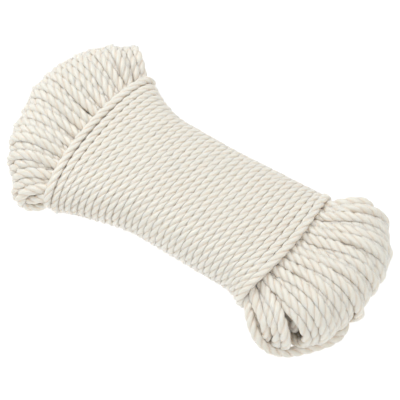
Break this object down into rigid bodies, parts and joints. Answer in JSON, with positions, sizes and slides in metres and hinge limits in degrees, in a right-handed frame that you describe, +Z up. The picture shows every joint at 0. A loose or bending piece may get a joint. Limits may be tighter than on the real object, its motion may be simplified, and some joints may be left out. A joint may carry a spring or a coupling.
{
  "type": "rope hank",
  "caption": "Hank of white three-strand laid rope, its lengthwise turns bound tightly round the middle and fanning out in loops at both ends.",
  "frame": {"origin": "centre of the overall box's lower face, on the plane that the hank rests on", "axes": "+X along the hank towards the end nearer the camera, +Y across it towards the side where the two tails lie, +Z up"},
  "size_m": [0.33, 0.167, 0.0552],
  "materials": {
    "rope": "glossy off-white synthetic fibre, three strands laid right-handed",
    "melted_end": "melted and set fibre, smooth, slightly yellowed"
  },
  "bodies": {
    "root": {"skein_core": "rope", "binding_wrap": "rope", "end_loops_far": "rope", "end_loops_near": "rope", "start_tail": "rope", "end_tail": "rope", "start_tip": "melted_end", "end_tip": "melted_end"}
  },
  "joints": []
}
